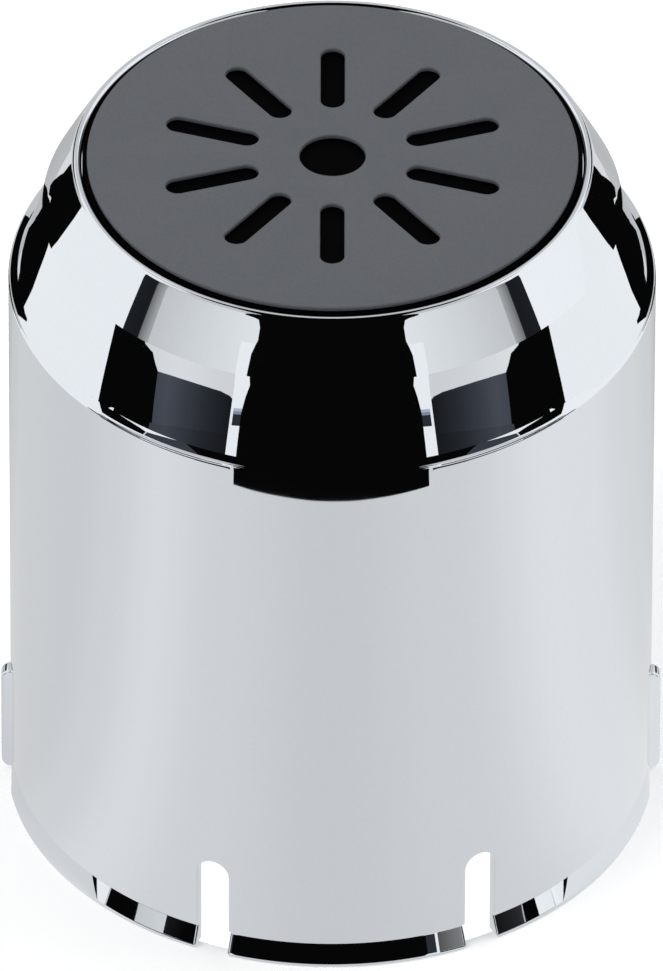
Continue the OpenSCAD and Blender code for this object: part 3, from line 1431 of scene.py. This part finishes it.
    def floor_material(self) -> bpy.types.Material:
        """Makes the floor's material.

        Returns:
            The material, white to the camera, with painted light that lifts the cap's shade on the
            floor under it, and with the pools of light to the metal.
        """
        material = bpy.data.materials.new("pale_floor")
        tree = bare_tree(material)
        path = add_node(tree, "ShaderNodeLightPath").outputs
        camera = path["Is Camera Ray"]
        white = maths(tree, "MULTIPLY_ADD", camera, self.paint_lift, self.paint_level)
        paint = add_node(tree, "ShaderNodeBsdfDiffuse", {"Color": white})
        spot = add_node(tree, "ShaderNodeTexCoord").outputs["Object"]
        split = add_node(tree, "ShaderNodeSeparateXYZ", {0: spot}).outputs
        flat = add_node(tree, "ShaderNodeVectorMath", {0: spot}, operation="LENGTH")
        # Painted light: within this radius the camera sees the floor glow brighter, which takes
        # away the shade under the cap.
        inside = maths(tree, "LESS_THAN", flat.outputs["Value"], self.painted_light_radius)
        lift = maths(tree, "MULTIPLY_ADD", inside, self.painted_light_glow, self.floor_glow)
        strength = maths(tree, "MULTIPLY", camera, lift)
        glow = add_node(tree, "ShaderNodeEmission", {"Strength": strength})
        lit = add_node(tree, "ShaderNodeAddShader", {0: paint.outputs[0], 1: glow.outputs[0]})
        turn = maths(tree, "ARCTAN2", split["X"], maths(tree, "MULTIPLY", split["Y"], -1.0))
        share = maths(tree, "MULTIPLY_ADD", turn, 0.5 / pi, 0.5)
        pools = add_node(tree, "ShaderNodeValToRGB", {"Fac": share})
        pools.color_ramp.interpolation = "EASE"
        stops = pools.color_ramp.elements
        for position, level in self.pools:
            ends = {0.0: 0, 1.0: len(stops) - 1}
            stop = stops[ends[position]] if position in ends else stops.new(position)
            stop.color = (level, level, level, 1.0)
        shine = add_node(tree, "ShaderNodeEmission", {"Color": pools.outputs["Color"]})
        inputs = {0: path["Is Glossy Ray"], 1: lit.outputs[0], 2: shine.outputs[0]}
        both = add_node(tree, "ShaderNodeMixShader", inputs)
        add_node(tree, "ShaderNodeOutputMaterial", {"Surface": both.outputs[0]})
        return material

    def floor(self) -> None:
        """Makes the pale floor, which is white to the camera and keeps the cap's shadow."""
        # The floor keeps the cap's shadow outside its rim; under the cap its material paints light
        # over the shade.
        n = self.floor_steps
        points: list[Point3] = [(0.0, 0.0, 0.0)]
        faces = fan(0, range(1, n + 1))
        for r in self.floor_rings:
            points += round_row(r, 0.0, n)
        for a in range(1, len(points) - n, n):
            faces += [(a + i, a + n + i, a + n + (i + 1) % n, a + (i + 1) % n) for i in range(n)]
        mesh = bpy.data.meshes.new("floor")
        mesh.from_pydata(points, [], faces)
        mesh.materials.append(self.floor_material())
        place("floor", mesh)

    def world(self) -> None:
        """Sets the soft light all round, white to the camera."""
        world = bpy.data.worlds.new("studio")
        bpy.context.scene.world = world
        tree = bare_tree(world)
        path = add_node(tree, "ShaderNodeLightPath")
        lift = maths(tree, "MULTIPLY", path.outputs["Is Camera Ray"], 1.0 - self.world_level)
        level = maths(tree, "ADD", lift, self.world_level)
        sky = add_node(tree, "ShaderNodeBackground", {"Strength": level})
        add_node(tree, "ShaderNodeOutputWorld", {"Surface": sky.outputs[0]})

    def lamp(self, name: str, spot: Point3, size: float, power: float) -> None:
        """Adds a large soft lamp that points at the cap.

        Args:
            name: Name of the lamp.
            spot: Its place.
            size: Side of its square.
            power: Its power in watts.
        """
        data = bpy.data.lights.new(name, "AREA")
        data.size, data.energy = size, power
        lamp = place(name, data)
        lamp.location = spot
        x, y, z = spot
        lamp.rotation_euler = (atan2(hypot(x, y), z - self.lamp_aim), 0.0, atan2(x, -y))
        lamp.visible_glossy = lamp.visible_camera = False

    def front_cards(self) -> None:
        """Places the black card before the cap and the white stripes beside it."""
        edge = [(27.2, 0, 900), (27.3, 0, 256), (28, 0, 250), (28.9, 25, 240), (29.7, 60, 190)]
        self.card(Card.BLACK, "front", 470, mirrored(edge), twin=False)
        corner = [(27.2, 268, 900), (28.4, 277, 900), (30, 286, 900), (34, 292, 900)]
        self.card(Card.BLACK, "front_top", 469, mirrored(corner), twin=False)
        sheet = [(28, 178, 470), (29.8, 178, 200)]
        self.card(Card.BLACK, "front_floor", 0, mirrored(sheet), twin=False)
        self.card(Card.WHITE, "stripe", 490, [(26, 0, 260), (33.5, 0, 252)])
        outline = [(26, 400, 490), (33.5, 400, 490)]
        self.card(Card.WHITE, "stripe_floor", 0, outline, height=0.4)
        patch = ((26, 0.86), (33, 0.82), (54, 0.7), (68, 0.61), (80, 0.58))
        outline = [(turn, 0, 3000, level) for turn, level in patch]
        self.card(Card.WHITE, "patch", 6000, outline)
        # Dark cards, grey low down and black higher up, that only the chrome sees: they paint a
        # shaded band into its reflection.
        for low, high, level in ((50, 56, 0.5), (56, 62, 0.28), (62, 84, 0.03)):
            outline = [(28.5, low, high), (32.6, low, high)]
            self.card(Card.DARK, f"smudge_{low}", 475, outline, level)

    def block_cards(self) -> None:
        """Places the dark block, the black posts and the bars on either side of the front."""
        black = self.black_level
        near = [
            (32.2, 1300, 0.01), (32.6, 800, 0.01), (33.4, 660, 0.01), (34.8, 600, 0.012),
            (38, 559, 0.018), (44, 530, 0.03), (50, 508, 0.05), (57, 490, 0.078),
            (62.2, 482, 0.066),
        ]
        outline = [(turn, reach, 5000, level) for turn, reach, level in near]
        self.card(Card.DARK, "block_floor", 0, outline)
        wall = [
            (33.5, 590, 0.01), (38, 560, 0.014), (45, 500, 0.025), (51, 410, 0.045),
            (57, 335, 0.065), (62.6, 283, 0.055),
        ]
        outline = [(turn, 0, high, level) for turn, high, level in wall]
        self.card(Card.DARK, "block", 5000, outline)
        foot = [
            (61.6, 482), (64.6, 380), (68.2, 352), (71, 310), (82, 290), (82.1, 500), (82.3, 1500),
        ]
        outline = [(turn, reach, 5000) for turn, reach in foot]
        self.card(Card.BLACK, "post_floor", 0, outline, height=0.6)
        outline = [(62.4, 0, 290), (68.3, 0, 300), (68.6, 0, 450), (76, 0, 450)]
        self.card(Card.BLACK, "post_foot", 4990, outline)
        outline = [(-54.5, 470, 830, 0.01), (-48, 470, 830, black), (-42, 470, 830, black)]
        self.card(Card.BLACK, "left_bar", 4980, outline, twin=False)
        outline = [
            (47, 400, 690, black), (52, 300, 690, black), (62, 300, 690, 0.02),
            (70, 300, 690, 0.05),
        ]
        self.card(Card.BLACK, "right_bar", 4980, outline, twin=False)
        outline = [(70.6, 125, 260, 0.02), (71.4, 125, 260, 0.012), (77.2, 125, 260, 0.016)]
        self.card(Card.DARK, "post", 476, outline)
        outline = [(66.5, 170, 320, 0.42), (70.7, 125, 320, 0.16)]
        self.card(Card.WHITE, "post_wash", 477, outline)
        outline = [(33, 760, 1090, 0.06), (43.5, 740, 1070, 0.24)]
        self.card(Card.WHITE, "lip_shade", 5900, outline, twin=False)
        outline = [(70, 120, 430), (77, 60, 430)]
        self.card(Card.WHITE, "lip_light", 4970, outline, twin=False)

    def side_cards(self) -> None:
        """Places the white walls at the sides and the bars and sheets before them."""
        outline = [(-121.5, 0, 2600), (-76, 0, 2600)]
        self.card(Card.WHITE, "side_left", 1900, outline, twin=False)
        outline = [(76, 0, 2600, 0.96), (121.5, 0, 2600, 0.94)]
        self.card(Card.WHITE, "side_right", 1900, outline, twin=False)
        outline = [(80, 2500, 5500), (121.5, 1500, 5500), (121.6, 900, 5500), (160, 1300, 5500)]
        self.card(Card.WHITE, "side_top", 1950, outline)
        outline = [
            (99, 3105, 3360), (105, 2720, 3545), (108, 2530, 3650), (111, 2350, 3500),
            (117, 2440, 3045), (122.5, 2520, 2580),
        ]
        self.card(Card.BLACK, "side_bar", 1940, outline)
        outline = [
            (77, 4360, 7780), (90, 3500, 7240), (99, 3360, 6345), (105, 3575, 5330),
            (108, 3680, 5050),
        ]
        self.card(Card.DARK, "ledge_block", 1940, outline, 0.05)
        outline = [(61.2, 183.2, 290), (76.8, 183.2, 290)]
        self.card(Card.BLACK, "post_near", 0, outline, height=0.7)
        outline = [
            (31, 181.6, 200, 0.01), (42, 181.6, 200, 0.02), (43, 183, 200, 0.03),
            (61.2, 183.2, 200, 0.06),
        ]
        self.card(Card.DARK, "block_near", 0, outline, height=0.7)
        self.card(Card.WHITE, "side_fence", 285, [(72.6, 0, 8), (86, 0, 8)])
        outline = [(81.2, 183, 1900), (131, 183, 1900)]
        self.card(Card.WHITE, "side_floor", 0, outline, height=0.3)

    def rear_cards(self) -> None:
        """Places the black bands and the pale floor behind the cap."""
        outline = [
            (121, 900, 1200), (122, 640, 1200), (126.5, 285, 1200), (129.5, 225, 1200),
            (135.8, 200, 1200), (136, 200, 395), (140, 195, 345), (143, 192, 315), (146, 190, 285),
            (154, 190, 215),
        ]
        self.card(Card.BLACK, "rear_near", 0, outline)
        outline = [(135.9, 395, 1200), (138, 375, 700), (140.2, 345, 390), (143, 322, 330)]
        self.card(Card.BLACK, "rear_far", 0, outline)
        self.card(Card.BLACK, "rear_low", 1200, [(121, 0, 60), (136, 0, 120)])
        outline = [(136, 480, 850), (140, 330, 850), (154, 200, 600)]
        self.card(Card.BLACK, "rear_high", 1200, outline)
        outline = [(136, 340, 1900, 0.77), (180, 340, 1900, 0.73)]
        self.card(Card.WHITE, "rear_light", 0, outline, height=0.3)

    def cards(self) -> None:
        """Places the cards that the polished metal mirrors."""
        self.front_cards()
        self.block_cards()
        self.side_cards()
        self.rear_cards()
        self.canopy(3.6, 0.37, 38.0, 112.0)

    def camera(self) -> None:
        """Sets the camera at the photograph's viewing angle."""
        data = bpy.data.cameras.new("camera")
        data.lens = self.focal
        data.sensor_width = 36.0
        data.sensor_fit = "AUTO"
        data.clip_start, data.clip_end = 0.1, 200.0
        camera = place("camera", data)
        rise = radians(self.camera_rise)
        back, up = self.camera_far * cos(rise), self.camera_far * sin(rise)
        camera.location = (0.0, -back, self.aim_height + up)
        roll = Matrix.Rotation(radians(self.camera_roll), 3, "Z")
        camera.rotation_euler = (Matrix.Rotation(pi / 2 - rise, 3, "X") @ roll).to_euler()
        bpy.context.scene.camera = camera

    def build(self) -> None:
        """Sets up the whole studio."""
        bpy.context.scene.view_settings.view_transform = "Standard"
        self.floor()
        self.world()
        self.cards()
        self.lamp("key_softbox", (-1.2, -0.9, 2.2), size=1.6, power=22.0)
        self.lamp("fill_softbox", (1.5, 0.4, 1.9), size=1.6, power=12.0)
        self.camera()


def main() -> None:
    """Builds the cap and its studio."""
    logging.basicConfig(level=logging.INFO, format="%(name)s: %(message)s")
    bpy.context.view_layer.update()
    sizes = CapSizes()
    CapShell(replace(sizes, crown_turn=CROWN_SEEN)).build()
    RetainingRibs(sizes).build()
    BackingDisc(sizes).build()
    FacePlate(sizes).build()
    Studio().build()


if __name__ == "__main__":
    main()
